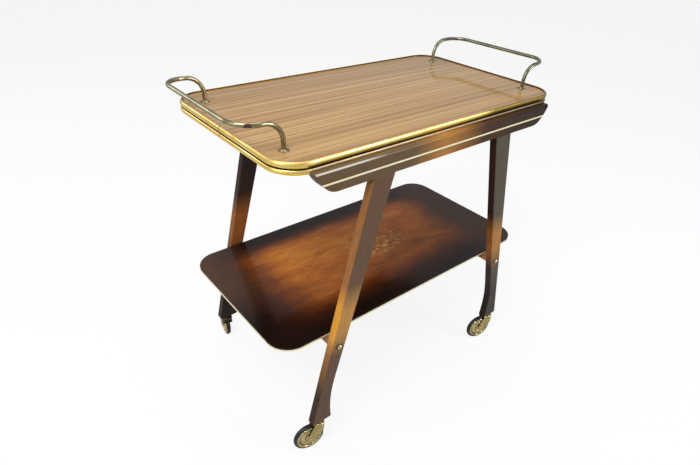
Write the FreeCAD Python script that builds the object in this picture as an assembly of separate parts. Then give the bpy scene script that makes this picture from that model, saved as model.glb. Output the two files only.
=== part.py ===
"""Two-tier tea trolley: a laminated top between two bow-ended side frames, a lower shelf, brass carrying
handles and four brass swivel castors.  Millimetres; X runs along the length, Y across, Z up.
The origin is on the floor under the middle of the overall box; front is -Y and left is -X."""
import FreeCAD, Part
import math
import os
from FreeCAD import Vector

os.makedirs("parts", exist_ok=True)

# ---- top panel and its edging
top_length = 720.0            # over the edging
top_width = 400.0             # over the edging
top_corner_radius = 55.0      # of the edging, in plan
surface_height = 681.2        # laminate above the floor
laminate_thickness = 1.0
core_thickness = 17.4
lip_rise = 2.8                # the edging stands this far above the laminate
lip_width = 1.8               # and reaches this far in over the core
edging_depth = 3.2            # crown of the two beads, beyond the core
edging_web = 1.0              # metal behind the inlay
bead_edge = 1.8               # reach of the beads at their edges
lip_round = 0.9               # rise of the rounded lip over the upper bead
inlay_height = 3.2            # black strip between the beads
inlay_rise = 9.5              # its middle above the lower edge of the edging
inlay_thickness = 0.8
edging_gap = 0.8              # open joint between the two halves of the edging
nail_radius = 0.9
nail_length = 16.0
nail_head_radius = 1.35
nail_head_height = 0.6
nail_columns = 5              # nails along each long side
nail_span = 560.0             # between the outermost of them
nail_end_offset = 70.0        # nails on the short ends, from the middle

# ---- side rails
rail_length = 624.5           # over the bow ends, at the top
rail_thickness = 25.0
rail_height = 40.2
rail_cover = 5.4              # the rail rises this far beside the edging
rail_lip = 15.0               # rail outside the edging
panel_fit = 0.2               # between edging and rail
bow_radius_low = 34.5         # bow end, next to the underside
bow_radius_high = 77.0        # bow end, up to the top
bow_sweep_low = 40.0          # degrees turned by the lower arc
rail_arris_radius = 5.5
rail_inlay_drop = 23.0        # brass strip below the rail's top
rail_inlay_height = 3.2
rail_inlay_depth = 1.2        # groove
rail_inlay_proud = 0.5

# ---- legs
leg_thickness = 18.0
leg_top_x = 189.5             # outer edge where the leg meets the rail
leg_top_width = 48.0
leg_outer_angle = 12.5        # degrees from upright
leg_inner_angle = 14.75       # degrees from upright, down to the curve
leg_curve_radius = 285.0      # concave inner edge above the foot
leg_waist_height = 43.0       # narrowest place above the foot's underside
foot_height = 77.5            # underside of the foot above the floor
foot_corner_radius = 4.0
leg_arris_radius = 2.0
leg_dowel_radius = 4.0
leg_dowel_spacing = 22.0
leg_dowel_in_rail = 20.0
leg_dowel_in_leg = 25.0

# ---- cross rails under the top
cross_rail_thickness = 20.0
cross_rail_height = 30.0
cross_dowel_radius = 3.0
cross_dowel_spacing = 13.0
cross_dowel_in_side = 9.0
cross_dowel_in_cross = 22.0
panel_screw_radius = 2.0
panel_screw_head_radius = 4.0
panel_screw_bite = 10.0       # into the core
panel_screw_spacing = 110.0

# ---- shelf
shelf_length = 735.0          # over the edging
shelf_height = 298.8          # its upper face above the floor
shelf_thickness = 7.2
shelf_corner_radius = 50.0
shelf_side_gap = 8.6          # to the legs
shelf_edging_height = 3.6     # brass strip along the lower half of the edge
shelf_edging_thickness = 1.2
shelf_edging_proud = 0.5
batten_width = 18.0
batten_height = 24.0
batten_inset = 0.7            # middle of the batten and its bolts, inward from the middle of the leg
batten_screw_radius = 1.75
batten_screw_head_radius = 3.5
batten_screw_bite = 4.5       # into the shelf
batten_screw_spacing = 120.0
shelf_bolt_radius = 3.0
shelf_bolt_drop = 15.0        # its middle, below the shelf's underside
shelf_bolt_in_batten = 32.0
shelf_bolt_head_radius = 5.4
shelf_bolt_head_rim = 1.0     # straight part of the head
shelf_bolt_head_dome = 3.2
shelf_washer_radius = 8.8
shelf_washer_thickness = 1.4
barrel_nut_radius = 5.0
barrel_nut_beyond = 3.0       # past the bolt that goes through it
barrel_nut_inset = 22.0       # from the batten's end

# ---- handles
handle_tube_radius = 4.1
handle_end_inset = 42.0       # middle of a foot, from the end of the top
handle_side_inset = 63.2      # and from its long side
handle_stub = 14.5            # upright at the flange
handle_arm_radius = 35.0      # bend from upright to level
handle_arm_straight = 5.0
handle_grip_radius = 41.5     # bend from the arm into the grip
handle_rise = 3.2             # degrees, of the arms and the grip
flange_radius = 9.5
flange_height = 3.2
flange_rim = 1.0
flange_shoulder_radius = 7.6
flange_shoulder_height = 1.9
flange_neck = 1.2             # wall left at the flange's top
handle_screw_radius = 2.0
handle_screw_in_tube = 14.0
handle_screw_head_radius = 3.8
handle_screw_head_height = 2.6
handle_washer_radius = 6.0
handle_washer_thickness = 1.0

# ---- castors
wheel_radius = 35.0
tyre_inner_radius = 25.6
tyre_half_width = 5.0
tyre_shoulder_radius = 32.2
disc_radius = 29.0
disc_rim_half_width = 6.7     # crown of the rolled rim that holds the tyre
disc_rim_start = 23.6         # radius at which the rolled rim begins
disc_groove_half_width = 4.4  # flat grooves inside and outside the domed ring
disc_dome_half_width = 6.8    # crown of the domed ring
disc_dome_start = 10.0
disc_dome_end = 21.4
hub_radius = 6.0
hub_half_width = 7.8
axle_radius = 2.0
axle_head_radius = 4.0
axle_head_height = 1.6
axle_clearance = 0.05
castor_offset = 3.0           # swivel axis, outward from the middle of the foot
castor_trail = 23.0           # axle behind the swivel axis
fork_sheet = 1.8
fork_half_gap = 8.2           # inside, from the middle plane
fork_crown_radius = 13.2
fork_skirt_depth = 7.5        # of the crown's front, over the open part between the cheeks
fork_cheek_depth_front = 15.0
fork_cheek_depth_back = 3.5
fork_boss_radius = 6.5
fork_crown_round = 4.4
stem_radius = 3.95
stem_length = 28.0            # inside the socket
stem_clearance = 0.05
stem_end_gap = 1.0            # above the stem, inside the socket
collar_radius = 7.6
collar_thickness = 1.6
swivel_gap = 0.3              # between collar and socket flange
stem_rivet_radius = 5.8
stem_rivet_height = 1.4
socket_wall = 0.9
socket_cap = 1.2
socket_flange_radius = 8.6
socket_flange_thickness = 1.2
castor_rest_angles = {        # direction in which each wheel trails
    "front_left": 169.0,
    "front_right": 165.0,
    "back_left": 80.0,
    "back_right": 204.0,
}

middle_y = -21.3              # middle plane, so that the origin is under the middle of the overall box
touch = 1e-3                  # places nearer to each other than this are the same place
overcut = 1.0                 # a cut reaches this far past a face that it opens

# ---- places worked out from the sizes above
core_length = top_length - 2 * edging_depth
core_width = top_width - 2 * edging_depth
core_corner_radius = top_corner_radius - edging_depth
core_top = surface_height - laminate_thickness
core_bottom = core_top - core_thickness
edging_height = surface_height + lip_rise - core_bottom
inlay_middle = core_bottom + inlay_rise
rail_top = core_bottom + rail_cover
rail_bottom = rail_top - rail_height
rebate_y = top_width / 2 + panel_fit
outer_y = rebate_y + rail_lip
leg_inner_y = outer_y - leg_thickness
leg_middle_y = outer_y - leg_thickness / 2
rail_inner_y = outer_y - rail_thickness
leg_top_middle_x = leg_top_x - leg_top_width / 2
shelf_width = 2 * (leg_inner_y - shelf_side_gap)
shelf_bottom = shelf_height - shelf_thickness
batten_bottom = shelf_bottom - batten_height
bolt_height = shelf_bottom - shelf_bolt_drop
leg_slope = (math.tan(math.radians(leg_outer_angle)) + math.tan(math.radians(leg_inner_angle))) / 2
batten_x = leg_top_middle_x + (rail_bottom - bolt_height) * leg_slope - batten_inset
cross_rail_bottom = core_bottom - cross_rail_height
handle_foot_x = top_length / 2 - handle_end_inset
handle_foot_y = top_width / 2 - handle_side_inset
fork_half_width = fork_half_gap + fork_sheet
crown_top = foot_height - socket_flange_thickness - swivel_gap - collar_thickness
crown_underside = crown_top - fork_sheet

X, Y, Z = Vector(1, 0, 0), Vector(0, 1, 0), Vector(0, 0, 1)
ORIGIN = Vector(0, 0, 0)
LEFT_RIGHT = {"left": -1, "right": 1}
FRONT_BACK = {"front": -1, "back": 1}


# ---- small helpers
def box(x0, x1, y0, y1, z0, z1):
    """Box between two values on each axis, given in any order."""
    low = Vector(min(x0, x1), min(y0, y1), min(z0, z1))
    return Part.makeBox(abs(x1 - x0), abs(y1 - y0), abs(z1 - z0), low)


def rod(radius, start, end):
    """Cylinder from one point to another."""
    return Part.makeCylinder(radius, start.distanceToPoint(end), start, end - start)


def joined(solids):
    """One solid made of touching or overlapping solids."""
    return solids[0].fuse(solids[1:]).removeSplitter()


def carve(solid, tools):
    """The solid with every tool cut out of it."""
    return solid.cut(Part.makeCompound(tools))


def flip(shape, x_side=1, y_side=1):
    """A shape built on the +X +Y side, brought to the side named by the signs."""
    if x_side < 0:
        shape = shape.mirror(ORIGIN, X)
    if y_side < 0:
        shape = shape.mirror(ORIGIN, Y)
    return shape


def save(node, *solids):
    """Write one node; identical pieces share it as separate solids."""
    shape = solids[0] if len(solids) == 1 else Part.makeCompound(list(solids))
    shape.translated(Y * middle_y).exportStep("parts/" + node + ".step")


def outline(points):
    """Closed wire through corner points; a tuple of two points is an arc's middle and end."""
    edges = []
    here = points[0]
    for step in points[1:] + [points[0]]:
        if isinstance(step, tuple):
            edges.append(Part.Arc(here, step[0], step[1]).toShape())
            here = step[1]
        elif step.distanceToPoint(here) > touch:
            edges.append(Part.LineSegment(here, step).toShape())
            here = step
    return Part.Wire(edges)


def turned(profile, base=ORIGIN, axis=Z):
    """Solid of revolution of (radius, height) steps about an axis through the base.

    A step of four numbers is an arc: its middle radius and height, then its end."""
    points = []
    for step in profile:
        ends = [Vector(step[i], 0, step[i + 1]) for i in range(0, len(step), 2)]
        points.append(ends[0] if len(ends) == 1 else tuple(ends))
    solid = Part.Face(outline(points)).revolve(ORIGIN, Z, 360)
    solid.Placement = FreeCAD.Placement(base, FreeCAD.Rotation(Z, axis))
    return solid


def dome(radius, base, rise):
    """Profile step: an arc from (radius, base) over to the axis, risen by the given height."""
    ball = (radius ** 2 + rise ** 2) / (2 * abs(rise))
    sag = ball - math.sqrt(ball ** 2 - radius ** 2 / 4)
    return (radius / 2, base + rise - math.copysign(sag, rise), 0, base + rise)


def rounded_path(length, width, radius, height, start_y=None):
    """Edges of a rounded rectangle in plan; with start_y, only its front half up to that line."""
    half_l, half_w = length / 2, width / 2
    bend = radius * (1 - math.sqrt(0.5))

    def at(x, y):
        return Vector(x, y, height)

    top_y = start_y if start_y is not None else half_w - radius
    def corner(x, y, turn):
        """Arc round the corner at x, y; turn +1 leaves it along X, -1 leaves it along Y."""
        along_y = at(x, y - math.copysign(radius, y))
        along_x = at(x - math.copysign(radius, x), y)
        middle = at(x - math.copysign(bend, x), y - math.copysign(bend, y))
        ends = [along_y, along_x][::turn]
        return Part.Arc(ends[0], middle, ends[1])

    edges = [
        Part.LineSegment(at(-half_l, top_y), at(-half_l, radius - half_w)),
        corner(-half_l, -half_w, 1),
        Part.LineSegment(at(radius - half_l, -half_w), at(half_l - radius, -half_w)),
        corner(half_l, -half_w, -1),
        Part.LineSegment(at(half_l, radius - half_w), at(half_l, top_y)),
    ]
    if start_y is None:
        edges += [
            corner(half_l, half_w, 1),
            Part.LineSegment(at(half_l - radius, half_w), at(radius - half_l, half_w)),
            corner(-half_l, half_w, -1),
        ]
    return Part.Wire([edge.toShape() for edge in edges])


def plate(length, width, radius, bottom, thickness):
    """Flat board with rounded corners."""
    return Part.Face(rounded_path(length, width, radius, bottom)).extrude(Z * thickness)


def swept(section, path):
    """Section carried along a level path, kept upright."""
    pipe = Part.BRepOffsetAPI.MakePipeShell(path)
    pipe.setBiNormalMode(Z)
    pipe.add(section)
    pipe.build()
    pipe.makeSolid()
    return pipe.shape()


# ---- top
def edging_section(points):
    """Closed profile of (reach, height, ...) steps where the edging starts, at the left end."""
    def at(reach, height):
        return Vector(-core_length / 2 - reach, -edging_gap / 2, core_bottom + height)

    return outline([at(*p) if len(p) == 2 else (at(*p[:2]), at(*p[2:])) for p in points])


def edging_half():
    """Front half of the brass edging: two beads with a groove between them and a lip over the laminate."""
    low = inlay_rise - inlay_height / 2
    high = low + inlay_height
    shoulder = edging_height - lip_round
    seat = core_thickness + laminate_thickness
    section = edging_section([
        (0, 0), (bead_edge, 0), (edging_depth, low / 2, bead_edge, low), (edging_web, low),
        (edging_web, high), (bead_edge, high), (edging_depth, (high + shoulder) / 2, bead_edge, shoulder),
        ((bead_edge - lip_width) / 2, edging_height, -lip_width, shoulder), (-lip_width, seat), (0, seat),
    ])
    path = rounded_path(core_length, core_width, core_corner_radius, core_bottom, -edging_gap / 2)
    return swept(section, path)


def edging_inlay_half():
    """Front half of the black strip pressed into the edging's groove."""
    low = inlay_rise - inlay_height / 2
    high = low + inlay_height
    face = edging_web + inlay_thickness
    section = edging_section([(edging_web, low), (face, low), (face, high), (edging_web, high)])
    path = rounded_path(core_length, core_width, core_corner_radius, core_bottom, -edging_gap / 2)
    return swept(section, path)


def edging_nail(edge_point, outward):
    """Nail driven through the groove into the core's edge."""
    head_start = edge_point + outward * (edging_web - nail_head_height)
    shank = rod(nail_radius, edge_point - outward * (nail_length - edging_web), head_start)
    head = rod(nail_head_radius, head_start, edge_point + outward * edging_web)
    return joined([shank, head])


def edging_nails():
    """Nails of the front half of the edging."""
    nails = []
    for i in range(nail_columns):
        x = -nail_span / 2 + i * nail_span / (nail_columns - 1)
        nails.append(edging_nail(Vector(x, -core_width / 2, inlay_middle), -Y))
    for side in (-1, 1):
        point = Vector(side * core_length / 2, -nail_end_offset, inlay_middle)
        nails.append(edging_nail(point, X * side))
    return nails


# ---- side frames, built on the +Y side
def rail_prism(inner, outer):
    """Bow-ended rail outline between two distances from the middle plane."""
    low_turn = math.radians(bow_sweep_low)
    rise = rail_height - bow_radius_low * (1 - math.cos(low_turn))
    top_turn = math.acos(math.cos(low_turn) - rise / bow_radius_high)
    reach_low = bow_radius_low * math.sin(low_turn)
    reach_high = bow_radius_high * (math.sin(top_turn) - math.sin(low_turn))
    tangent_x = rail_length / 2 - reach_low - reach_high
    knee_x = tangent_x + reach_low
    knee_z = rail_bottom + bow_radius_low * (1 - math.cos(low_turn))

    def low_arc(turn):
        return (tangent_x + bow_radius_low * math.sin(turn),
                rail_bottom + bow_radius_low * (1 - math.cos(turn)))

    def high_arc(turn):
        return (knee_x + bow_radius_high * (math.sin(turn) - math.sin(low_turn)),
                knee_z + bow_radius_high * (math.cos(low_turn) - math.cos(turn)))

    def at(place, side=1):
        return Vector(side * place[0], inner, place[1])

    middle_turn = (low_turn + top_turn) / 2
    wire = outline([
        at((tangent_x, rail_bottom)),
        (at(low_arc(low_turn / 2)), at(low_arc(low_turn))),
        (at(high_arc(middle_turn)), at(high_arc(top_turn))),
        at(high_arc(top_turn), -1),
        (at(high_arc(middle_turn), -1), at(low_arc(low_turn), -1)),
        (at(low_arc(low_turn / 2), -1), at((tangent_x, rail_bottom), -1)),
    ])
    return Part.Face(wire).extrude(Y * (outer - inner))


def rail_body():
    """Side rail with its rounded upper arris and the rebate that carries the top."""
    rail = rail_prism(rail_inner_y, outer_y)
    arris = [edge for edge in rail.Edges
             if all(abs(v.Y - outer_y) < touch and abs(v.Z - rail_top) < touch for v in edge.Vertexes)]
    rail = rail.makeFillet(rail_arris_radius, arris)
    rebate = box(-rail_length, rail_length, rail_inner_y - overcut, rebate_y,
                 core_bottom, rail_top + overcut)
    return rail.cut(rebate)


def rail_inlay():
    """Brass strip along the rail, cut to the bow ends and standing a little proud."""
    middle = rail_top - rail_inlay_drop
    band = box(-rail_length, rail_length, 0, outer_y + rail_inlay_proud,
               middle - rail_inlay_height / 2, middle + rail_inlay_height / 2)
    return rail_prism(outer_y - rail_inlay_depth, outer_y + rail_inlay_proud).common(band)


def leg_inner_curve():
    """Middle of the concave arc of the leg's inner edge (x, z), and the turns where it starts and ends."""
    start_turn = math.radians(leg_inner_angle)
    waist_z = foot_height + leg_waist_height
    start_z = waist_z + leg_curve_radius * math.sin(start_turn)
    start_x = leg_top_x - leg_top_width + (rail_bottom - start_z) * math.tan(start_turn)
    centre_x = start_x - leg_curve_radius * math.cos(start_turn)
    end_turn = -math.asin(leg_waist_height / leg_curve_radius)
    return centre_x, waist_z, start_turn, end_turn


def foot_edges():
    """Inner and outer x of the foot at its underside."""
    centre_x, _, _, end_turn = leg_inner_curve()
    inner = centre_x + leg_curve_radius * math.cos(end_turn)
    outer = leg_top_x + (rail_bottom - foot_height) * math.tan(math.radians(leg_outer_angle))
    return inner, outer


def leg_body():
    """Splayed leg: straight outer edge, inner edge tapering and then flaring into the foot."""
    centre_x, centre_z, start_turn, end_turn = leg_inner_curve()
    foot_inner, foot_outer = foot_edges()

    def at(x, z):
        return Vector(x, leg_inner_y, z)

    def curve(turn):
        return at(centre_x + leg_curve_radius * math.cos(turn), centre_z + leg_curve_radius * math.sin(turn))

    wire = outline([
        at(leg_top_x, rail_bottom), at(leg_top_x - leg_top_width, rail_bottom), curve(start_turn),
        (curve((start_turn + end_turn) / 2), curve(end_turn)), at(foot_outer, foot_height),
    ])
    leg = Part.Face(wire).extrude(Y * leg_thickness)
    corners = [edge for edge in leg.Edges
               if edge.BoundBox.ZMax < foot_height + touch and edge.BoundBox.YLength > touch]
    leg = leg.makeFillet(foot_corner_radius, corners)
    arrises = [edge for edge in leg.Edges
               if edge.BoundBox.YLength < touch and edge.BoundBox.ZMin < rail_bottom - touch]
    return leg.makeFillet(leg_arris_radius, arrises)


def leg_dowels():
    """Two upright dowels between a leg and its rail."""
    dowels = []
    for offset in (-leg_dowel_spacing / 2, leg_dowel_spacing / 2):
        x = leg_top_middle_x + offset
        low = Vector(x, leg_middle_y, rail_bottom - leg_dowel_in_leg)
        high = Vector(x, leg_middle_y, rail_bottom + leg_dowel_in_rail)
        dowels.append(rod(leg_dowel_radius, low, high))
    return dowels


def cross_dowels():
    """Two level dowels between a cross rail and a side rail."""
    middle = core_bottom - cross_rail_height / 2
    dowels = []
    for offset in (-cross_dowel_spacing / 2, cross_dowel_spacing / 2):
        inner = Vector(leg_top_middle_x, rail_inner_y - cross_dowel_in_cross, middle + offset)
        outer = Vector(leg_top_middle_x, rail_inner_y + cross_dowel_in_side, middle + offset)
        dowels.append(rod(cross_dowel_radius, inner, outer))
    return dowels


# ---- screws, bolts and nuts
def countersunk_screw(foot, length, radius, head_radius):
    """Upright wood screw, head down at its foot."""
    head = head_radius - radius
    point = length - 2 * radius
    return turned([(0, 0), (head_radius, 0), (radius, head), (radius, point), (0, length)], foot)


def panel_screws(x):
    """Screws up through a cross rail into the top's core."""
    length = cross_rail_height + panel_screw_bite
    return [countersunk_screw(Vector(x, y, cross_rail_bottom), length, panel_screw_radius,
                              panel_screw_head_radius)
            for y in (-panel_screw_spacing, 0, panel_screw_spacing)]


def batten_screws(x):
    """Screws up through a batten into the shelf."""
    length = batten_height + batten_screw_bite
    return [countersunk_screw(Vector(x, y, batten_bottom), length, batten_screw_radius,
                              batten_screw_head_radius)
            for y in (-batten_screw_spacing, 0, batten_screw_spacing)]


def shelf_bolt():
    """Bolt with a domed head, through the washer and leg into the batten; built on the +X +Y side."""
    seat = Vector(batten_x, outer_y + shelf_washer_thickness, bolt_height)
    reach = shelf_washer_thickness + leg_thickness + shelf_bolt_in_batten
    return turned([
        (0, -reach), (shelf_bolt_radius, -reach), (shelf_bolt_radius, 0), (shelf_bolt_head_radius, 0),
        (shelf_bolt_head_radius, shelf_bolt_head_rim),
        dome(shelf_bolt_head_radius, shelf_bolt_head_rim, shelf_bolt_head_dome),
    ], seat, Y)


def shelf_washer():
    """Brass ring under the bolt's head, with a bevelled rim."""
    seat = Vector(batten_x, outer_y, bolt_height)
    rim = shelf_washer_thickness / 2
    return turned([
        (shelf_bolt_radius, 0), (shelf_washer_radius, 0), (shelf_washer_radius, rim),
        (shelf_washer_radius - rim, shelf_washer_thickness), (shelf_bolt_radius, shelf_washer_thickness),
    ], seat, Y)


def barrel_nut():
    """Cross nut in the batten that the bolt screws into."""
    base = Vector(batten_x, leg_inner_y - barrel_nut_inset, batten_bottom)
    length = bolt_height - batten_bottom + shelf_bolt_radius + barrel_nut_beyond
    return rod(barrel_nut_radius, base, base + Z * length)


# ---- handles, built at the right end
def handle_bar():
    """Bent brass rod: upright, out over the edge, and across as a level grip."""
    rise = math.radians(handle_rise)
    out = Vector(math.cos(rise), 0, math.sin(rise))
    turn = math.pi / 2 - rise
    shift = handle_grip_radius * math.sqrt(0.5)

    def half(side):
        foot = Vector(handle_foot_x, side * handle_foot_y, surface_height)
        top = foot + Z * handle_stub
        centre = top + X * handle_arm_radius
        bend = [centre + Vector(-math.cos(t), 0, math.sin(t)) * handle_arm_radius for t in (turn / 2, turn)]
        start = bend[1] + out * handle_arm_straight
        middle = start + out * shift - Y * side * (handle_grip_radius - shift)
        end = start + out * handle_grip_radius - Y * side * handle_grip_radius
        return [Part.LineSegment(foot, top), Part.Arc(top, bend[0], bend[1]),
                Part.LineSegment(bend[1], start), Part.Arc(start, middle, end)], end

    front, front_end = half(-1)
    back, back_end = half(1)
    curves = front + [Part.LineSegment(front_end, back_end)] + back[::-1]
    path = Part.Wire(Part.__sortEdges__([curve.toShape() for curve in curves]))
    foot = Vector(handle_foot_x, -handle_foot_y, surface_height)
    ring = Part.Wire(Part.makeCircle(handle_tube_radius, foot, Z))
    return path.makePipeShell([ring], True, False)


def handle_flange(foot):
    """Turned rosette round the handle's foot."""
    return turned([
        (handle_tube_radius, 0), (flange_radius, 0), (flange_radius, flange_rim),
        (flange_shoulder_radius, flange_shoulder_height, handle_tube_radius + flange_neck, flange_height),
        (handle_tube_radius, flange_height),
    ], foot)


def handle_screw(foot):
    """Machine screw up through the top into the handle's foot."""
    seat_z = core_bottom - handle_washer_thickness
    seat = Vector(foot.x, foot.y, seat_z)
    tip = Vector(foot.x, foot.y, surface_height + handle_screw_in_tube)
    return joined([rod(handle_screw_radius, seat, tip),
                   rod(handle_screw_head_radius, seat, seat - Z * handle_screw_head_height)])


def handle_washer(foot):
    """Plain washer between the screw's head and the top's underside."""
    base = Vector(foot.x, foot.y, core_bottom)
    disc = rod(handle_washer_radius, base, base - Z * handle_washer_thickness)
    return disc.cut(rod(handle_screw_radius, base, base - Z * handle_washer_thickness))


# ---- castors, built with the swivel axis at the origin and the wheel trailing along +X
def castor_socket():
    """Sleeve in the foot's bore, closed at the top, with a flange under the foot."""
    bore = stem_radius + stem_clearance
    outer = bore + socket_wall
    base = foot_height - socket_flange_thickness
    roof = foot_height + stem_length + stem_end_gap
    return turned([
        (bore, base), (socket_flange_radius, base), (socket_flange_radius, foot_height),
        (outer, foot_height), (outer, roof + socket_cap), (0, roof + socket_cap), (0, roof), (bore, roof),
    ])


def socket_bore():
    """Hole in the foot that takes the socket."""
    outer = stem_radius + stem_clearance + socket_wall
    return rod(outer, Z * foot_height, Z * (foot_height + stem_length + stem_end_gap + socket_cap))


def castor_stem():
    """Swivel pin with its bearing collar, riveted under the fork's crown."""
    return turned([
        (0, crown_underside - stem_rivet_height), (stem_rivet_radius, crown_underside - stem_rivet_height),
        (stem_rivet_radius, crown_underside), (stem_radius, crown_underside), (stem_radius, crown_top),
        (collar_radius, crown_top), (collar_radius, crown_top + collar_thickness),
        (stem_radius, crown_top + collar_thickness), (stem_radius, foot_height + stem_length),
        (0, foot_height + stem_length),
    ])


def fork_side():
    """Side outline of the fork: a deep crown tapering to a round boss at the axle, as a prism."""
    axle = Vector(castor_trail, 0, wheel_radius)
    front = Vector(-fork_crown_radius, 0, crown_top - fork_cheek_depth_front)
    back = Vector(fork_crown_radius, 0, crown_top - fork_cheek_depth_back)

    def tangent(point, side):
        """Where the line from a point touches the boss; side +1 or -1 picks the tangent."""
        run = axle - point
        turn = side * math.acos(fork_boss_radius / run.Length)
        towards = FreeCAD.Rotation(Y, math.degrees(turn)).multVec(run * -1)
        return axle + towards * (fork_boss_radius / run.Length)

    low, high = tangent(front, -1), tangent(back, 1)
    away = axle - (front + back) * 0.5
    tip = axle + away * (fork_boss_radius / away.Length)
    wire = outline([
        Vector(-fork_crown_radius, 0, crown_top), front, low, (tip, high), back,
        Vector(fork_crown_radius, 0, crown_top),
    ])
    wire.translate(Y * -fork_crown_radius)
    return Part.Face(wire).extrude(Y * 2 * fork_crown_radius)


def fork_plan(inset, low, high):
    """Plan of the fork as a prism: round in front of the swivel axis, parallel cheeks behind it."""
    half = fork_half_width - inset
    radius = fork_crown_radius - inset
    reach = math.sqrt(radius ** 2 - half ** 2)
    back = castor_trail + wheel_radius
    wire = outline([
        Vector(reach, half, low), (Vector(-radius, 0, low), Vector(reach, -half, low)),
        Vector(back, -half, low), Vector(back, half, low),
    ])
    return Part.Face(wire).extrude(Z * (high - low))


def rounded_top(solid, radius):
    """The solid with the rim of its level top rounded over."""
    top = solid.BoundBox.ZMax
    rim = [edge for edge in solid.Edges if edge.BoundBox.ZMin > top - touch]
    return solid.makeFillet(radius, rim)


def castor_fork():
    """Pressed brass fork: one bent sheet with a domed crown, two cheeks and an open back and front."""
    body = fork_side().common(rounded_top(fork_plan(0, 0, crown_top), fork_crown_round))
    pocket = rounded_top(fork_plan(fork_sheet, 0, crown_underside), fork_crown_round - fork_sheet)
    front = box(-fork_crown_radius - overcut, 0, -fork_half_gap, fork_half_gap,
                0, crown_top - fork_skirt_depth)
    pin = rod(axle_radius, Vector(castor_trail, -fork_crown_radius, wheel_radius),
              Vector(castor_trail, fork_crown_radius, wheel_radius))
    return carve(body, [pocket, front, pin, rod(stem_radius, ORIGIN, Z * foot_height)])


def castor_axle():
    """Rivet through both cheeks and the hub, with a domed head outside each cheek."""
    side = fork_half_width
    return turned([
        (0, -side - axle_head_height), dome(axle_head_radius, -side, -axle_head_height)[:2]
        + (axle_head_radius, -side), (axle_radius, -side), (axle_radius, side), (axle_head_radius, side),
        dome(axle_head_radius, side, axle_head_height),
    ], Vector(castor_trail, 0, wheel_radius), Y)


def castor_wheel():
    """Two pressed discs on a hub, each with a domed ring and a rolled rim, and a channel for the tyre."""
    bore = axle_radius + axle_clearance
    half = turned([
        (bore, 0), (bore, hub_half_width), (hub_radius, hub_half_width),
        (disc_dome_start, disc_groove_half_width),
        ((disc_dome_start + disc_dome_end) / 2, disc_dome_half_width, disc_dome_end, disc_groove_half_width),
        (disc_rim_start, disc_groove_half_width),
        ((disc_rim_start + disc_radius) / 2, disc_rim_half_width, disc_radius, tyre_half_width),
        (tyre_inner_radius, tyre_half_width), (tyre_inner_radius, 0),
    ])
    wheel = joined([half, half.mirror(ORIGIN, Z)])
    wheel.Placement = FreeCAD.Placement(Vector(castor_trail, 0, wheel_radius), FreeCAD.Rotation(Z, Y))
    return wheel


def castor_tyre():
    """Black rubber tyre held between the discs, with a round tread."""
    shoulder = (tyre_shoulder_radius, tyre_half_width)
    return turned([
        (tyre_inner_radius, -tyre_half_width), (tyre_shoulder_radius, -tyre_half_width),
        (wheel_radius, 0) + shoulder, (tyre_inner_radius, tyre_half_width),
    ], Vector(castor_trail, 0, wheel_radius), Y)


def castor_place(name, foot_x):
    """Placement of a castor under the foot of its name."""
    depth, side = name.split("_")
    spot = Vector(LEFT_RIGHT[side] * foot_x, FRONT_BACK[depth] * leg_middle_y, 0)
    return FreeCAD.Placement(spot, FreeCAD.Rotation(Z, castor_rest_angles[name]))


# ---- assembly
def make_top(screws, handle_screws):
    """Core, laminate, edging, inlay and edging nails."""
    front_nails = edging_nails()
    back_nails = [flip(nail, 1, -1) for nail in front_nails]
    nails = front_nails + back_nails
    core = plate(core_length, core_width, core_corner_radius, core_bottom, core_thickness)
    save("top_core", carve(core, nails + screws + handle_screws))
    laminate = plate(core_length, core_width, core_corner_radius, core_top, laminate_thickness)
    save("top_laminate", carve(laminate, handle_screws))
    edging = carve(edging_half(), front_nails)
    save("top_edging_front", edging)
    save("top_edging_back", flip(edging, 1, -1))
    save("top_edging_inlay_front", edging_inlay_half())
    save("top_edging_inlay_back", flip(edging_inlay_half(), 1, -1))
    save("edging_nails", *nails)


def make_side_frames(foot_x):
    """Rails with their brass strips, legs with their castor sockets, and the dowels."""
    quarter_dowels = leg_dowels()
    side_dowels = cross_dowels()
    socket = castor_socket()
    bolt = shelf_bolt()
    rail = carve(rail_body(), [flip(d, x) for d in quarter_dowels + side_dowels for x in (-1, 1)]
                 + [rail_inlay()])
    for depth, y_side in FRONT_BACK.items():
        save("rail_" + depth, flip(rail, 1, y_side))
        save("rail_inlay_" + depth, flip(rail_inlay(), 1, y_side))
    bore = socket_bore().translated(Vector(foot_x, leg_middle_y, 0))
    leg = carve(leg_body(), quarter_dowels + [bore, bolt])
    for depth, y_side in FRONT_BACK.items():
        for side, x_side in LEFT_RIGHT.items():
            save("leg_" + depth + "_" + side, flip(leg, x_side, y_side))
            spot = Vector(x_side * foot_x, y_side * leg_middle_y, 0)
            save("castor_socket_" + depth + "_" + side, socket.translated(spot))
    corners = [(x, y) for x in (-1, 1) for y in (-1, 1)]
    save("leg_dowels", *[flip(d, x, y) for d in quarter_dowels for x, y in corners])
    save("cross_rail_dowels", *[flip(d, x, y) for d in side_dowels for x, y in corners])


def make_cross_rails():
    """Two rails under the top that tie the side frames together, and the screws into the core."""
    screws = []
    for side, x_side in LEFT_RIGHT.items():
        x = x_side * leg_top_middle_x
        own_screws = panel_screws(x)
        dowels = [flip(d, x_side, y) for d in cross_dowels() for y in (-1, 1)]
        bar = box(x - cross_rail_thickness / 2, x + cross_rail_thickness / 2,
                  -rail_inner_y, rail_inner_y, cross_rail_bottom, core_bottom)
        save("cross_rail_" + side, carve(bar, own_screws + dowels))
        screws += own_screws
    save("panel_screws", *screws)
    return screws


def shelf_plate(inset, height):
    """Plate of the shelf's plan, drawn in by the inset, from its underside up."""
    return plate(shelf_length - 2 * inset, shelf_width - 2 * inset, shelf_corner_radius - inset,
                 shelf_bottom, height)


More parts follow.
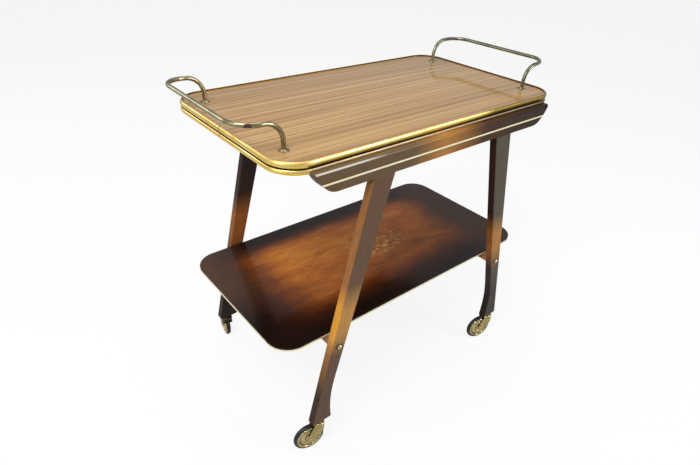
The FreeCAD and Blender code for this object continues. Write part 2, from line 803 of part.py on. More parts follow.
def make_shelf():
    """Shelf board with the brass strip let into its edge, two battens and what fastens them to the legs."""
    board = shelf_plate(shelf_edging_proud, shelf_thickness)
    strip = shelf_plate(0, shelf_edging_height).cut(shelf_plate(shelf_edging_thickness, shelf_edging_height))
    screws = []
    for side, x_side in LEFT_RIGHT.items():
        x = x_side * batten_x
        own_screws = batten_screws(x)
        bar = box(x - batten_width / 2, x + batten_width / 2, -leg_inner_y, leg_inner_y,
                  batten_bottom, shelf_bottom)
        metal = [flip(piece, x_side, y) for piece in (shelf_bolt(), barrel_nut()) for y in (-1, 1)]
        save("shelf_batten_" + side, carve(bar, own_screws + metal))
        screws += own_screws
    save("shelf_board", carve(board, screws + [strip]))
    save("shelf_edging", strip)
    save("batten_screws", *screws)
    corners = [(x, y) for x in (-1, 1) for y in (-1, 1)]
    save("shelf_bolts", *[flip(shelf_bolt(), x, y) for x, y in corners])
    save("shelf_bolt_washers", *[flip(shelf_washer(), x, y) for x, y in corners])
    nut = carve(barrel_nut(), [shelf_bolt()])
    save("shelf_barrel_nuts", *[flip(nut, x, y) for x, y in corners])


def make_handles():
    """Two brass handles with their rosettes, screws and washers."""
    feet = [Vector(x * handle_foot_x, y * handle_foot_y, surface_height) for x in (-1, 1) for y in (-1, 1)]
    screws = [handle_screw(foot) for foot in feet]
    bar = carve(handle_bar(), screws)
    for side, x_side in LEFT_RIGHT.items():
        save("handle_" + side, flip(bar, x_side))
    save("handle_flanges", *[handle_flange(foot) for foot in feet])
    save("handle_screws", *screws)
    save("handle_washers", *[handle_washer(foot) for foot in feet])
    return screws


def make_castors(foot_x):
    """Fork, stem, axle, wheel and tyre of each castor."""
    pieces = {
        "castor_fork_": castor_fork(),
        "castor_stem_": castor_stem(),
        "castor_axle_": castor_axle(),
        "castor_wheel_": castor_wheel(),
        "castor_tyre_": castor_tyre(),
    }
    for name in castor_rest_angles:
        place = castor_place(name, foot_x)
        for prefix, piece in pieces.items():
            save(prefix + name, piece.transformed(place.toMatrix()))
        axle = place.multVec(Vector(castor_trail, 0, wheel_radius))
        print(name, "swivel", place.Base, "axle", axle)


def main():
    """Build every node."""
    foot_x = sum(foot_edges()) / 2 + castor_offset
    screws = make_cross_rails()
    handle_screws = make_handles()
    make_top(screws, handle_screws)
    make_side_frames(foot_x)
    make_shelf()
    make_castors(foot_x)


main()
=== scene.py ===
"""Looks of the tea trolley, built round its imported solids.

Metres, in the part's own frame: X runs to the right-hand handle, Y to the back and Z up from the
floor.  Colours are written as 0 to 255.  Every material is placed by these coordinates, which
follow a piece when its joint moves."""
import math
import bpy
from mathutils import Matrix, Vector

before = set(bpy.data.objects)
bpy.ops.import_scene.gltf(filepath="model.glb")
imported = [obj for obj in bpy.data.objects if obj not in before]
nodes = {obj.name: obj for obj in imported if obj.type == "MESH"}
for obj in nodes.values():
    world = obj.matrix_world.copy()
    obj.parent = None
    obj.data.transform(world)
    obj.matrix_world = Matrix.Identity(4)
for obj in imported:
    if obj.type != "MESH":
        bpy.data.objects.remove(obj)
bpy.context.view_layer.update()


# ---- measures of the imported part
MID_Y = -0.0213                  # middle plane between the two side frames
SHELF_END_X = 0.367              # from the middle to the shelf's end
SHELF_SIDE_Y = 0.188             # and to its side
LEG_FOOT_Z, LEG_TOP_Z = 0.07, 0.67
LEG_TURN = math.radians(13.5)    # splay of the legs in the XZ plane
LOW_BEAD_TOP = 0.6710            # between the edging's lower bead and its black strip
RAIL_END_X = 0.309               # the edging's lower bead comes out from behind the rail
FRONT_EDGING_Y = -0.195          # the straight edging of the front lies in front of this

CORNERS = ("front_left", "front_right", "back_left", "back_right")
SWIVEL_X, SWIVEL_FRONT_Y, SWIVEL_BACK_Y = 0.28984101, -0.2275, 0.1849
REST_TURN = {"front_left": 169, "front_right": 165, "back_left": 80, "back_right": 204}   # degrees
TRAIL, WHEEL_RADIUS = 0.023, 0.035
DISC_GROOVES = ((0.0225, 0.0008), (0.0096, 0.0006))     # radius and half width

# shading and wear, in metres
END_SHADE, SIDE_SHADE = (0.035, 0.215), (0.03, 0.115)   # darkest and warmest, from the shelf's edge
SCUFF_X, SCUFF_REACH_X, SCUFF_REACH_Y = 0.03, 0.11, 0.075      # scuffed oval in mid-shelf
RAIL_SHADES_END = 0.32           # RAIL_SHADES runs this far to each side of the middle
RAGGED = 0.05                    # how far clouds move the borders of a shading

NOISE_LOW, NOISE_HIGH = 0.3, 0.7     # a noise seldom leaves these


# ---- colours
TEAK = [(0.34, (136, 96, 50)), (0.44, (166, 127, 78)), (0.54, (182, 143, 90)),
        (0.66, (200, 163, 108))]
WALNUT = [(0.0, (26, 15, 13)), (0.2, (60, 29, 16)), (0.45, (116, 60, 22)), (0.75, (172, 98, 32)),
          (1.0, (200, 124, 44))]
# along the rail: pale grey at the left end, a painted sheen; a warm zone, partly the finish rubbed
# through and partly painted light; dark and darkest to the right, partly the shaded finish and
# partly painted shade
RAIL_SHADES = [(0.34, (105, 85, 60)), (0.47, (180, 125, 60)), (0.65, (70, 45, 25)),
               (1.0, (30, 15, 5))]

# A leg's wood away from the shelf and its golden band at the shelf, with painted light in both:
# painted sheen on the front legs' wide faces, painted light on the front left leg's narrow side and
# painted shade on the back legs and the front right leg's narrow side.  The golden band is partly a
# thinner spray and partly painted light.  The number is how much of the first colour's brightness
# the foot keeps.
WOOD_LIT_WITH_SHEEN = ((105, 80, 60), (190, 140, 75), 0.9)
WOOD_LIT_EDGE = ((150, 100, 55), (220, 155, 60), 0.35)
WOOD_WITH_SHEEN = ((85, 75, 60), (175, 120, 50), 0.5)
WOOD_DARK_AND_SHADED = ((50, 35, 30), (140, 85, 40), 0.75)

# Polished metals.  Rough holds the smoothest and the roughest places, stain the specks' share
# and colour, and scale the size of the tarnish's clouds (higher is finer).
METALS = {
    # painted reflection: dark brown on the edging's faces turned to the middle
    "edging_brass": dict(
        bright=(252, 230, 150), dark=(238, 196, 98), rough=(0.3, 0.4), stain=(0.2, (150, 98, 36)),
        scale=22.0, inside=(92, 60, 28), edging=True),
    # near white, partly pale brass and partly a painted highlight
    "strip_brass": dict(
        bright=(255, 248, 218), dark=(252, 238, 190), rough=(0.4, 0.5),
        stain=(0.2, (190, 150, 90)), scale=30.0, metallic=0.4),
    "bolt_brass": dict(
        bright=(232, 222, 192), dark=(170, 152, 112), rough=(0.1, 0.22),
        stain=(0.3, (110, 84, 50)), scale=60.0),
    "washer_brass": dict(
        bright=(140, 116, 76), dark=(96, 76, 48), rough=(0.2, 0.35), stain=(0.3, (70, 50, 30)),
        scale=60.0),
    "handle_brass_left": dict(
        bright=(178, 170, 134), dark=(114, 106, 80), rough=(0.18, 0.3), stain=(0.4, (84, 66, 46)),
        scale=30.0, bare=((-0.3805, -0.1610, 0.7300), 0.0095)),
    # painted shade: the right-hand handle darker than the left
    "handle_brass_right": dict(
        bright=(146, 146, 120), dark=(96, 96, 74), rough=(0.18, 0.3), stain=(0.4, (84, 66, 46)),
        scale=30.0, bare=((0.3629, 0.1149, 0.7313), 0.008)),
    "castor_brass": dict(
        bright=(204, 186, 128), dark=(158, 138, 88), rough=(0.18, 0.3), stain=(0.3, (84, 66, 36)),
        scale=50.0),
    # painted shade: darker brass for the back left castor's fork and socket
    "castor_brass_painted_shade": dict(
        bright=(100, 88, 58), dark=(62, 54, 36), rough=(0.22, 0.34), stain=(0.3, (50, 40, 26)),
        scale=50.0),
    "wheel_brass": dict(
        bright=(214, 200, 146), dark=(168, 150, 98), rough=(0.14, 0.24),
        stain=(0.3, (84, 66, 36)), scale=50.0),
    "steel": dict(
        bright=(190, 188, 184), dark=(140, 138, 134), rough=(0.25, 0.45),
        stain=(0.4, (96, 70, 50)), scale=60.0),
}
EDGING_PAINTED_REFLECTION = (150, 128, 66)       # painted dark reflection on the right-hand part of the front
EDGING_SEAM = (96, 62, 28)           # where its two halves meet
LOW_BEAD = (142, 122, 90)            # painted shade on the lower bead beside the rail
GROOVE_DIRT = (64, 52, 30)
BARE_METAL = (74, 38, 30)            # where a handle's plating is worn off


# ---- surroundings
FLOOR_REACH = 12.0                   # from the middle to the floor's edges
FLOOR_GREY = (0.5, 0.5, 0.5, 1)      # for the light that the floor throws back
FLOOR_PALE = (0.9, 0.9, 0.9, 1)      # for the camera, so that a soft shadow stays
FLOOR_WHITE_TO_CAMERA, FLOOR_WHITE_TO_POLISH = 0.85, 0.3
WORLD_WHITE_TO_CAMERA, WORLD_WHITE_TO_POLISH = 1.0, 0.2
WORLD_LIGHT = 0.42
WHITE = (1, 1, 1, 1)

LAMPS_AIM = (0, MID_Y, 0.45)
# name, place, size, watts
LAMPS = [
    ("key", (-1.5, -0.8, 2.3), (1.0, 0.8), 30),
    ("front", (1.7, -2.5, 1.5), (1.1, 1.1), 34),
    ("left", (-2.6, -0.4, 1.3), (1.6, 1.2), 13),
    ("back left", (-1.7, 2.2, 1.6), (1.5, 1.2), 13),
    ("top", (0.0, 0.3, 3.0), (2.0, 1.6), 22),
]

CAMERA_PLACE = (-0.722095, -0.792587, 1.008036)
CAMERA_FOCAL = 510.995657 / 700      # of the image's width
CAMERA_TURN = -0.715956535           # about Z, radians
CAMERA_TILT = 0.566249117            # above the horizon
CAMERA_ROLL = 0.0569671133
SENSOR_WIDTH = 36.0                  # millimetres, as the lens


# ---- small helpers for node trees
class Nodes:
    """A node tree, with short calls to add and join its nodes."""

    def __init__(self, tree):
        self.nodes = tree.nodes
        self.links = tree.links

    def add(self, kind, **values):
        node = self.nodes.new(kind)
        for key, value in values.items():
            setattr(node, key, value)
        return node

    def feed(self, socket, value):
        """Join a socket to another, or write a constant into it."""
        if hasattr(value, "is_linked"):
            self.links.new(value, socket)
        else:
            socket.default_value = value

    def math(self, operation, a, b=0.0, clamp=False):
        node = self.add("ShaderNodeMath", operation=operation, use_clamp=clamp)
        self.feed(node.inputs[0], a)
        self.feed(node.inputs[1], b)
        return node.outputs[0]

    def times(self, product, *factors):
        for factor in factors:
            product = self.math("MULTIPLY", product, factor)
        return product

    def plus(self, a, b):
        return self.math("ADD", a, b)

    def less(self, a, b):
        return self.math("SUBTRACT", a, b)

    def size(self, a):
        return self.math("ABSOLUTE", a)

    def mix_shaders(self, share, a, b):
        node = self.add("ShaderNodeMixShader")
        self.feed(node.inputs[0], share)
        self.feed(node.inputs[1], a)
        self.feed(node.inputs[2], b)
        return node.outputs[0]

    def mix(self, share, a, b, blend="MIX"):
        """Colour a where the share is 0 and colour b where it is 1."""
        node = self.add("ShaderNodeMix", data_type="RGBA", blend_type=blend)
        self.feed(node.inputs[0], share)
        self.feed(node.inputs[6], a)
        self.feed(node.inputs[7], b)
        return node.outputs[2]


class Material(Nodes):
    """A material with one principled shader, placed by the part's coordinates."""

    def __init__(self, name):
        self.material = bpy.data.materials.new(name)
        self.material.use_nodes = True
        super().__init__(self.material.node_tree)
        self.shader = self.nodes["Principled BSDF"]
        coordinates = self.add("ShaderNodeTexCoord")
        self.place = coordinates.outputs["Object"]
        self.facing = coordinates.outputs["Normal"]

    def axes(self, vector=None):
        """X, Y and Z of a vector, by default of the place."""
        node = self.add("ShaderNodeSeparateXYZ")
        self.feed(node.inputs[0], self.place if vector is None else vector)
        return node.outputs

    def vector_math(self, operation, a, b, output=0):
        node = self.add("ShaderNodeVectorMath", operation=operation)
        self.feed(node.inputs[0], a)
        if b is not None:
            self.feed(node.inputs[1], b)
        return node.outputs[output]

    def stretched(self, scale, turn=(0, 0, 0), shift=(0, 0, 0)):
        """The place, turned, scaled and shifted."""
        node = self.add("ShaderNodeMapping")
        self.feed(node.inputs["Vector"], self.place)
        node.inputs["Location"].default_value = shift
        node.inputs["Rotation"].default_value = turn
        node.inputs["Scale"].default_value = scale
        return node.outputs[0]

    def noise(self, scale, detail, rough, turn=(0, 0, 0), distort=0.0):
        """Noise with so many features per metre, along each axis where scale holds three."""
        node = self.add("ShaderNodeTexNoise")
        if isinstance(scale, tuple):
            self.feed(node.inputs["Vector"], self.stretched(scale, turn))
            scale = 1.0
        else:
            self.feed(node.inputs["Vector"], self.place)
        node.inputs["Scale"].default_value = scale
        node.inputs["Detail"].default_value = detail
        node.inputs["Roughness"].default_value = rough
        node.inputs["Distortion"].default_value = distort
        return node.outputs["Fac"]

    def span(self, value, low, high, to_low=0.0, to_high=1.0, smooth=False):
        """Map low..high to to_low..to_high, and hold the ends."""
        node = self.add("ShaderNodeMapRange", clamp=True)
        if smooth:
            node.interpolation_type = "SMOOTHSTEP"
        self.feed(node.inputs["Value"], value)
        node.inputs["From Min"].default_value = low
        node.inputs["From Max"].default_value = high
        node.inputs["To Min"].default_value = to_low
        node.inputs["To Max"].default_value = to_high
        return node.outputs[0]

    def vary(self, noise, low, high):
        """Low where the noise is low and high where it is high."""
        return self.span(noise, NOISE_LOW, NOISE_HIGH, low, high)

    def ramp(self, value, stops):
        node = self.add("ShaderNodeValToRGB")
        self.feed(node.inputs["Fac"], value)
        ramp = node.color_ramp
        while len(ramp.elements) < len(stops):
            ramp.elements.new(0.5)
        for element, (position, colour) in zip(ramp.elements, stops):
            element.position = position
            element.color = srgb(*colour)
        return node.outputs["Color"]

    def lay(self, share, colour, over):
        """A colour of 0 to 255 laid over another, where the share says."""
        return self.mix(share, over, srgb(*colour))

    def lay_lines(self, lines, strength, colour, over):
        """The same where the lines' value falls to 0."""
        return self.lay(self.times(self.less(1.0, lines), strength), colour, over)

    def grey(self, value):
        node = self.add("ShaderNodeCombineColor")
        for socket in node.inputs:
            self.feed(socket, value)
        return node.outputs[0]

    def bump(self, height, distance, strength):
        node = self.add("ShaderNodeBump")
        node.inputs["Distance"].default_value = distance
        node.inputs["Strength"].default_value = strength
        self.feed(node.inputs["Height"], height)
        return node.outputs["Normal"]

    def set(self, **values):
        for key, value in values.items():
            self.feed(self.shader.inputs[key.replace("_", " ")], value)


def srgb(red, green, blue):
    """Colour written as 0 to 255, as the linear colour that Blender takes."""
    def linear(value):
        value /= 255
        return value / 12.92 if value <= 0.04045 else ((value + 0.055) / 1.055) ** 2.4
    return (linear(red), linear(green), linear(blue), 1.0)


# ---- materials of the woods
def laminate():
    """Teak-grained laminate: straight fine stripes along X under a glossy surface."""
    t = Material("teak_laminate")
    wide = t.noise((0.5, 30, 1), detail=2.0, rough=0.5)
    stripes = t.noise((1.0, 230, 1), detail=3.0, rough=0.6)
    fine = t.noise((2, 330, 1), detail=2.0, rough=0.5)
    pores = t.noise((150, 1100, 1), detail=2.0, rough=0.5)
    colour = t.ramp(t.plus(t.times(wide, 0.1), t.times(stripes, 0.9)), TEAK)
    lines = t.span(fine, 0.36, 0.46)
    colour = t.lay_lines(lines, 0.5, (116, 80, 40), over=colour)
    colour = t.lay_lines(t.span(pores, 0.30, 0.42), 0.35, (98, 64, 32), over=colour)
    # painted shade: a little darker towards the back and the right-hand end
    x, y, _ = t.axes()
    painted_shade = t.times(t.span(y, 0.0, 0.2, 1.0, 0.84), t.span(x, 0.14, 0.34, 0.97, 0.88))
    colour = t.mix(1.0, colour, t.grey(painted_shade), "MULTIPLY")
    smear = t.noise(9.0, detail=3.0, rough=0.6)
    t.set(Base_Color=colour, Roughness=t.vary(smear, 0.05, 0.1), Specular_IOR_Level=0.45,
          Normal=t.bump(t.plus(t.times(lines, 0.7), fine), distance=0.00001, strength=0.3))
    return t.material


def shelf_warmth(t, x, y):
    """Share of the warm colour: high in the shelf's middle, partly as painted light under the top,
    and none along its edges in the shaded finish; lower towards the right and the front, partly as
    painted shade.
    """
    cloud = t.noise((5, 8, 5), detail=4.0, rough=0.6)
    from_end = t.plus(t.less(SHELF_END_X, t.size(x)), t.times(cloud, RAGGED))
    from_side = t.plus(t.less(SHELF_SIDE_Y, t.size(t.less(y, MID_Y))), t.times(cloud, RAGGED * 0.6))
    mottle = t.noise((14, 40, 14), detail=5.0, rough=0.65, distort=0.6)
    return t.times(t.span(from_end, *END_SHADE, smooth=True),
                   t.span(from_side, *SIDE_SHADE, smooth=True),
                   # partly painted shade: lower towards the right and the front
                   t.span(x, -0.12, 0.2, 1.0, 0.84, smooth=True),
                   t.span(y, -0.14, 0.06, 0.56, 1.04),
                   t.vary(mottle, 0.76, 1.12))


def shelf_scratches(t, x, y):
    """Share of pale scratches: only in one worn oval near the middle of the upper face."""
    along = t.math("DIVIDE", t.less(x, SCUFF_X), SCUFF_REACH_X)
    across = t.math("DIVIDE", t.less(y, MID_Y), SCUFF_REACH_Y)
    reach = t.plus(t.math("POWER", along, 2.0), t.math("POWER", across, 2.0))
    place = t.span(reach, 0.0, 1.0, 1.0, 0.0, smooth=True)
    strokes = t.noise((60, 420, 1), detail=2.0, rough=0.5, turn=(0, 0, -0.12))
    upper_face = t.span(t.axes(t.facing)[2], 0.4, 0.6)
    return t.times(t.math("MULTIPLY", place, t.span(strokes, 0.57, 0.61), clamp=True), upper_face)


def shelf_veneer():
    """Polished walnut, warm in the middle and shaded almost black along the edges in its finish,
    with painted shade and a painted sheen.
    """
    t = Material("shelf_veneer")
    x, y, _ = t.axes()
    colour = t.ramp(shelf_warmth(t, x, y), WALNUT)
    # painted sheen: paler at the back of the left end and at the right end
    painted_sheen = t.plus(t.times(t.span(x, -0.35, -0.24, 0.42, 0.0), t.span(y, -0.1, 0.02)),
                  t.span(x, 0.2, 0.33, 0.0, 0.2))
    colour = t.lay(painted_sheen, (112, 80, 62), over=colour)
    pores = t.span(t.noise((40, 620, 1), detail=4.0, rough=0.6), 0.36, 0.5)
    colour = t.lay_lines(pores, 0.28, (38, 20, 12), over=colour)
    scratched = shelf_scratches(t, x, y)
    colour = t.lay(t.times(scratched, 0.85), (240, 190, 124), over=colour)
    dull = t.noise(14.0, detail=4.0, rough=0.6)
    t.set(Base_Color=colour, Roughness=t.vary(dull, 0.07, 0.15), Specular_IOR_Level=0.2,
          Normal=t.bump(t.less(pores, t.times(scratched, 2.0)), distance=0.00003, strength=0.3))
    return t.material


def fine_grain(t, scale, turn=(0, 0, 0)):
    """Grain of the legs and rails, which falls to 0 in its thin dark lines."""
    return t.span(t.noise(scale, detail=4.0, rough=0.62, turn=turn), 0.36, 0.55)


def polish(t, colour, lines, roughness):
    """Surface of the legs and rails, with the grain's lines a little sunk."""
    t.set(Base_Color=colour, Roughness=roughness, Specular_IOR_Level=0.16,
          Normal=t.bump(lines, distance=0.00004, strength=0.35))


def leg_wood(name, lean, face, edge):
    """Polished wood, darker above and below the shelf and golden at it, partly a shaded finish and
    partly painted light.

    Lean is the grain's turn in the XZ plane, and face and edge give the tones of the leg's wide and
    narrow sides, with painted sheen, painted light and painted shade in them."""
    t = Material(name)
    along = (0, lean, 0)
    cloud = t.noise((8, 8, 3), detail=4.0, rough=0.6, turn=along)
    height = t.plus(t.axes()[2], t.times(t.less(cloud, 0.5), RAGGED))
    share = t.span(height, LEG_FOOT_Z, LEG_TOP_Z)
    sides = [t.ramp(share, [(0.14, [foot * level for level in dim_tone]), (0.32, dim_tone),
                            (0.42, bright_tone), (0.5, bright_tone), (0.59, dim_tone)])
             for dim_tone, bright_tone, foot in (face, edge)]
    # painted light: wide and narrow sides get different tones, as light falls on them
    wide = t.span(t.size(t.axes(t.facing)[1]), 0.45, 0.75)
    colour = t.mix(wide, sides[1], sides[0])
    lines = fine_grain(t, (330, 330, 16), along)
    colour = t.lay_lines(lines, 0.16, (40, 22, 13), over=colour)
    wear = t.noise((70, 70, 40), detail=5.0, rough=0.7, turn=along)
    colour = t.lay(t.span(wear, 0.66, 0.74, 0.0, 0.2), (190, 140, 92), over=colour)
    polish(t, colour, lines, roughness=t.vary(cloud, 0.18, 0.32))
    return t.material


def rail_wood():
    """Dark polished rail with one warm zone, partly its shaded finish rubbed through and partly
    painted light.
    """
    t = Material("rail_wood")
    cloud = t.noise((7, 20, 30), detail=4.0, rough=0.6)
    along = t.plus(t.axes()[0], t.times(t.less(cloud, 0.5), RAGGED))
    colour = t.ramp(t.span(along, -RAIL_SHADES_END, RAIL_SHADES_END), RAIL_SHADES)
    lines = fine_grain(t, (16, 330, 330))
    colour = t.lay_lines(lines, 0.22, (44, 26, 18), over=colour)
    # painted highlight: the rounded upper arris painted pale on the front rail's left part
    _, to_back, to_top = t.axes(t.facing)
    painted_highlight = t.times(t.span(to_top, 0.3, 0.5), t.span(to_top, 0.72, 0.86, 1.0, 0.0),
                   t.span(to_back, -0.3, -0.2, 1.0, 0.0), t.span(along, -0.22, -0.16, 1.0, 0.0))
    colour = t.lay(t.times(painted_highlight, 0.8), (216, 210, 202), over=colour)
    polish(t, colour, lines, roughness=t.vary(cloud, 0.16, 0.28))
    return t.material


def plain_wood(name, low, high):
    """Unshaded wood of the hidden pieces."""
    t = Material(name)
    grain = t.noise((60, 60, 60), detail=5.0, rough=0.6, distort=0.5)
    t.set(Base_Color=t.ramp(grain, [(NOISE_LOW, low), (NOISE_HIGH, high)]),
          Roughness=t.vary(grain, 0.45, 0.6),
          Normal=t.bump(grain, distance=0.0001, strength=0.4))
    return t.material


# ---- materials of the metals
def wheel_place(corner):
    """Centre and axis of a castor's wheel at rest."""
    turn = math.radians(REST_TURN[corner])
    x = SWIVEL_X if corner.endswith("right") else -SWIVEL_X
    y = SWIVEL_FRONT_Y if corner.startswith("front") else SWIVEL_BACK_Y
    centre = (x + TRAIL * math.cos(turn), y + TRAIL * math.sin(turn), WHEEL_RADIUS)
    return centre, (-math.sin(turn), math.cos(turn), 0)


def groove_dirt(t, centre, axis):
    """Share of dirt in the ring-shaped grooves of a wheel's disc."""
    offset = t.vector_math("SUBTRACT", t.place, centre)
    round_axis = t.vector_math("CROSS_PRODUCT", offset, axis)
    reach = t.vector_math("LENGTH", round_axis, None, "Value")
    share = 0.0
    for middle, half in DISC_GROOVES:
        gap = t.size(t.less(reach, middle))
        share = t.math("MAXIMUM", share, t.span(gap, half, half * 1.8, 0.75, 0.0))
    return share


def inward_share(t):
    """Share of faces that are turned to the trolley's middle."""
    from_middle = t.stretched((1, 1, 0), shift=(0, -MID_Y, 0))
    outward = t.vector_math("DOT_PRODUCT", t.facing, from_middle, "Value")
    return t.span(outward, -0.13, -0.05, 1.0, 0.0)


def edging_dirt_and_painted_light(t, colour, cloud):
    """Paint a dark reflection on the front's right-hand part, dirt at the seams and painted shade
    low beside the rails.
    """
    x, y, z = t.axes()
    # painted reflection: darker on the right-hand part of the front
    right = t.span(t.plus(x, t.times(cloud, 0.12)), 0.14, 0.2)
    front = t.span(y, FRONT_EDGING_Y - 0.005, FRONT_EDGING_Y + 0.005, 1.0, 0.0)
    colour = t.lay(t.times(right, front), EDGING_PAINTED_REFLECTION, over=colour)
    seam = t.span(t.size(t.less(y, MID_Y)), 0.0008, 0.002, 0.7, 0.0)
    colour = t.lay(t.times(seam, t.span(cloud, 0.3, 0.5)), EDGING_SEAM, over=colour)
    # painted shade on the lower bead beside the rails
    low = t.span(z, LOW_BEAD_TOP - 0.0002, LOW_BEAD_TOP + 0.0002, 1.0, 0.0)
    beside_rail = t.span(t.size(x), RAIL_END_X - 0.003, RAIL_END_X + 0.003, 1.0, 0.0)
    return t.lay(t.times(low, beside_rail), LOW_BEAD, over=colour)


def bare_share(t, cloud, place, reach):
    """Share of a ragged patch round a place."""
    gap = t.vector_math("DISTANCE", t.place, place, "Value")
    ragged = t.plus(gap, t.times(cloud, reach * 0.6))
    return t.span(ragged, reach * 1.1, reach * 1.35, 1.0, 0.0)


def metal(kind, corner=None):
    """Polished metal with a cloudy tarnish, as METALS gives it.

    A wheel's disc is made for the corner that it stands at."""
    look = METALS[kind]
    t = Material(kind if corner is None else kind + "_" + corner)
    cloud = t.noise(look["scale"], detail=5.0, rough=0.62)
    specks = t.noise(look["scale"] * 9, detail=3.0, rough=0.6)
    colour = t.mix(t.span(cloud, 0.32, 0.66), srgb(*look["dark"]), srgb(*look["bright"]))
    stain, stain_colour = look["stain"]
    colour = t.lay(t.times(t.span(specks, 0.62, 0.74), stain), stain_colour, over=colour)
    # painted reflection on faces turned to the middle
    if "inside" in look:
        colour = t.lay(inward_share(t), look["inside"], over=colour)
    if "edging" in look:
        colour = edging_dirt_and_painted_light(t, colour, cloud)
    if corner is not None:
        colour = t.lay(groove_dirt(t, *wheel_place(corner)), GROOVE_DIRT, over=colour)
    metallic = look.get("metallic", 1.0)
    if "bare" in look:
        bare = bare_share(t, cloud, *look["bare"])
        colour = t.lay(bare, BARE_METAL, over=colour)
        metallic = t.math("SUBTRACT", metallic, t.times(bare, 0.8), clamp=True)
    smoothest, roughest = look["rough"]
    t.set(Base_Color=colour, Metallic=metallic, Roughness=t.vary(cloud, roughest, smoothest),
          Normal=t.bump(specks, distance=0.00001, strength=0.2))
    return t.material


# ---- materials of the plastics
def rubber():
    """Black tyre with a dusty bloom."""
    t = Material("tyre_rubber")
    dust = t.noise(90.0, detail=5.0, rough=0.65)
    t.set(Base_Color=t.ramp(dust, [(NOISE_LOW, (12, 14, 12)), (NOISE_HIGH, (30, 33, 28))]),
          Roughness=t.vary(dust, 0.26, 0.42), Specular_IOR_Level=0.4,
          Normal=t.bump(dust, distance=0.00008, strength=0.4))
    return t.material


def black_strip():
    """Smooth black plastic in the edging's groove."""
    t = Material("black_strip")
    dust = t.noise(120.0, detail=4.0, rough=0.6)
    t.set(Base_Color=t.ramp(dust, [(0.35, (4, 3, 3)), (0.75, (14, 11, 9))]),
          Roughness=t.vary(dust, 0.45, 0.6), Specular_IOR_Level=0.15)
    return t.material


# ---- every CAD node's material
def dress(material, *names):
    """Give CAD nodes a material."""
    for name in names:
        mesh = nodes[name].data
        mesh.materials.clear()
        mesh.materials.append(material)


def dress_woods():
    dress(laminate(), "top_laminate")
    dress(shelf_veneer(), "shelf_board")
    # lit and shaded copies: front legs with painted light and sheen, back legs in painted shade
    dress(leg_wood("leg_wood_front_left", LEG_TURN, WOOD_LIT_WITH_SHEEN, WOOD_LIT_EDGE), "leg_front_left")
    dress(leg_wood("leg_wood_front_right", -LEG_TURN, WOOD_WITH_SHEEN, WOOD_DARK_AND_SHADED), "leg_front_right")
    dress(leg_wood("leg_wood_back_left", LEG_TURN, WOOD_DARK_AND_SHADED, WOOD_DARK_AND_SHADED), "leg_back_left")
    dress(leg_wood("leg_wood_back_right", -LEG_TURN, WOOD_DARK_AND_SHADED, WOOD_DARK_AND_SHADED), "leg_back_right")
    dress(rail_wood(), "rail_front", "rail_back")
    dress(plain_wood("blockboard", (150, 112, 74), (186, 148, 104)), "top_core")
    dress(plain_wood("frame_wood", (150, 92, 50), (190, 126, 72)),
          "cross_rail_left", "cross_rail_right", "shelf_batten_left", "shelf_batten_right")
    dress(plain_wood("beech", (190, 150, 104), (212, 176, 130)), "leg_dowels", "cross_rail_dowels")


def dress_metals():
    dress(metal("edging_brass"), "top_edging_front", "top_edging_back")
    dress(metal("strip_brass"), "rail_inlay_front", "rail_inlay_back", "shelf_edging")
    dress(metal("bolt_brass"), "shelf_bolts")
    dress(metal("washer_brass"), "shelf_bolt_washers")
    dress(metal("handle_brass_left"), "handle_left", "handle_flanges")
    dress(metal("handle_brass_right"), "handle_right")
    dress(metal("steel"), "edging_nails", "panel_screws", "batten_screws", "shelf_barrel_nuts",
          "handle_screws", "handle_washers", *["castor_stem_" + corner for corner in CORNERS])
    # the back left castor's fork and socket get painted shade
    bright, dark = metal("castor_brass"), metal("castor_brass_painted_shade")
    for corner in CORNERS:
        dress(dark if corner == "back_left" else bright,
              "castor_fork_" + corner, "castor_socket_" + corner)
        dress(bright, "castor_axle_" + corner)
        dress(metal("wheel_brass", corner), "castor_wheel_" + corner)


def dress_plastics():
    dress(black_strip(), "top_edging_inlay_front", "top_edging_inlay_back")
    dress(rubber(), *["castor_tyre_" + corner for corner in CORNERS])


# ---- floor, world, lamps and camera
def white_seen(t, to_camera, to_polish):
    """Share of plain white that rays from the camera and from polished surfaces see.

    It lights nothing else, so it adds no light to the object."""
    path = t.add("ShaderNodeLightPath")
    return t.math("MAXIMUM",
                  t.math("MAXIMUM", t.times(path.outputs["Is Camera Ray"], to_camera),
                         t.times(path.outputs["Is Glossy Ray"], to_polish)),
                  t.times(path.outputs["Is Transmission Ray"], to_polish))


def floor_material():
    """Diffuse ground that also shows a plain white glow to the camera."""
    material = bpy.data.materials.new("floor")
    material.use_nodes = True
    material.node_tree.nodes.clear()
    t = Nodes(material.node_tree)
    path = t.add("ShaderNodeLightPath")
    diffuse = t.add("ShaderNodeBsdfDiffuse")
    t.feed(diffuse.inputs["Color"], t.mix(path.outputs["Is Camera Ray"], FLOOR_GREY, FLOOR_PALE))
    glow = t.add("ShaderNodeEmission")
    glow.inputs["Color"].default_value = WHITE
    share = white_seen(t, FLOOR_WHITE_TO_CAMERA, FLOOR_WHITE_TO_POLISH)
    out = t.add("ShaderNodeOutputMaterial")
    t.feed(out.inputs["Surface"], t.mix_shaders(share, diffuse.outputs[0], glow.outputs[0]))
    return material


def make_floor():
    mesh = bpy.data.meshes.new("floor")
    reach = FLOOR_REACH
    mesh.from_pydata([(-reach, -reach, 0), (reach, -reach, 0), (reach, reach, 0),
                      (-reach, reach, 0)], [], [(0, 1, 2, 3)])
    mesh.materials.append(floor_material())
    floor = bpy.data.objects.new("floor", mesh)
    bpy.context.scene.collection.objects.link(floor)


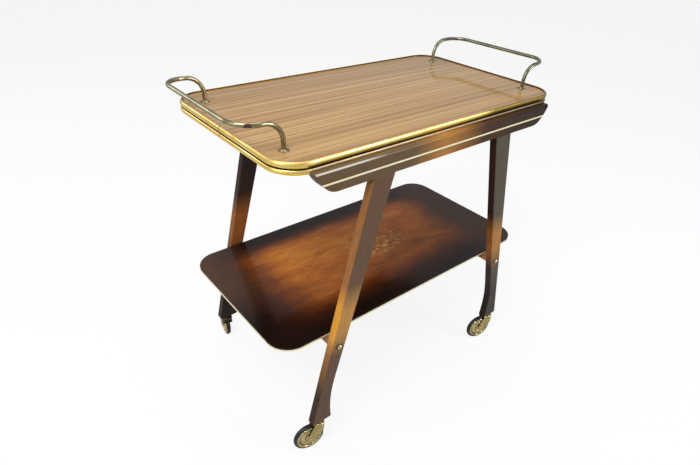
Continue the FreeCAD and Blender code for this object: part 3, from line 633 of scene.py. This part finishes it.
def make_world():
    """Even pale studio light, and pure white where the camera looks straight at it."""
    world = bpy.data.worlds.new("studio")
    bpy.context.scene.world = world
    world.use_nodes = True
    world.node_tree.nodes.clear()
    t = Nodes(world.node_tree)
    lit, seen = t.add("ShaderNodeBackground"), t.add("ShaderNodeBackground")
    for background, strength in ((lit, WORLD_LIGHT), (seen, 1.0)):
        background.inputs["Color"].default_value = WHITE
        background.inputs["Strength"].default_value = strength
    share = white_seen(t, WORLD_WHITE_TO_CAMERA, WORLD_WHITE_TO_POLISH)
    out = t.add("ShaderNodeOutputWorld")
    t.feed(out.inputs["Surface"], t.mix_shaders(share, lit.outputs[0], seen.outputs[0]))


def make_lamps():
    for name, place, size, watts in LAMPS:
        data = bpy.data.lights.new(name, "AREA")
        data.shape = "RECTANGLE"
        data.size, data.size_y = size
        data.energy = watts
        lamp = bpy.data.objects.new(name, data)
        bpy.context.scene.collection.objects.link(lamp)
        lamp.location = place
        lamp.rotation_mode = "QUATERNION"
        lamp.rotation_quaternion = (Vector(LAMPS_AIM) - Vector(place)).to_track_quat("-Z", "Y")


def make_camera():
    """Camera at the photograph's viewing angle."""
    data = bpy.data.cameras.new("camera")
    data.sensor_fit = "HORIZONTAL"
    data.sensor_width = SENSOR_WIDTH
    data.lens = CAMERA_FOCAL * SENSOR_WIDTH
    data.clip_start, data.clip_end = 0.01, 100.0
    camera = bpy.data.objects.new("camera", data)
    bpy.context.scene.collection.objects.link(camera)
    back = Vector((math.sin(CAMERA_TURN) * math.cos(CAMERA_TILT),
                   -math.cos(CAMERA_TURN) * math.cos(CAMERA_TILT), math.sin(CAMERA_TILT)))
    right = Vector((math.cos(CAMERA_TURN), math.sin(CAMERA_TURN), 0))
    down = back.cross(right) * -1
    cosine, sine = math.cos(CAMERA_ROLL), math.sin(CAMERA_ROLL)
    right, down = right * cosine - down * sine, right * sine + down * cosine
    turn = Matrix((right, -down, back)).transposed().to_4x4()
    camera.matrix_world = Matrix.Translation(CAMERA_PLACE) @ turn
    bpy.context.scene.camera = camera


dress_woods()
dress_metals()
dress_plastics()
make_floor()
make_world()
make_lamps()
make_camera()
bpy.context.scene.view_settings.view_transform = "Standard"
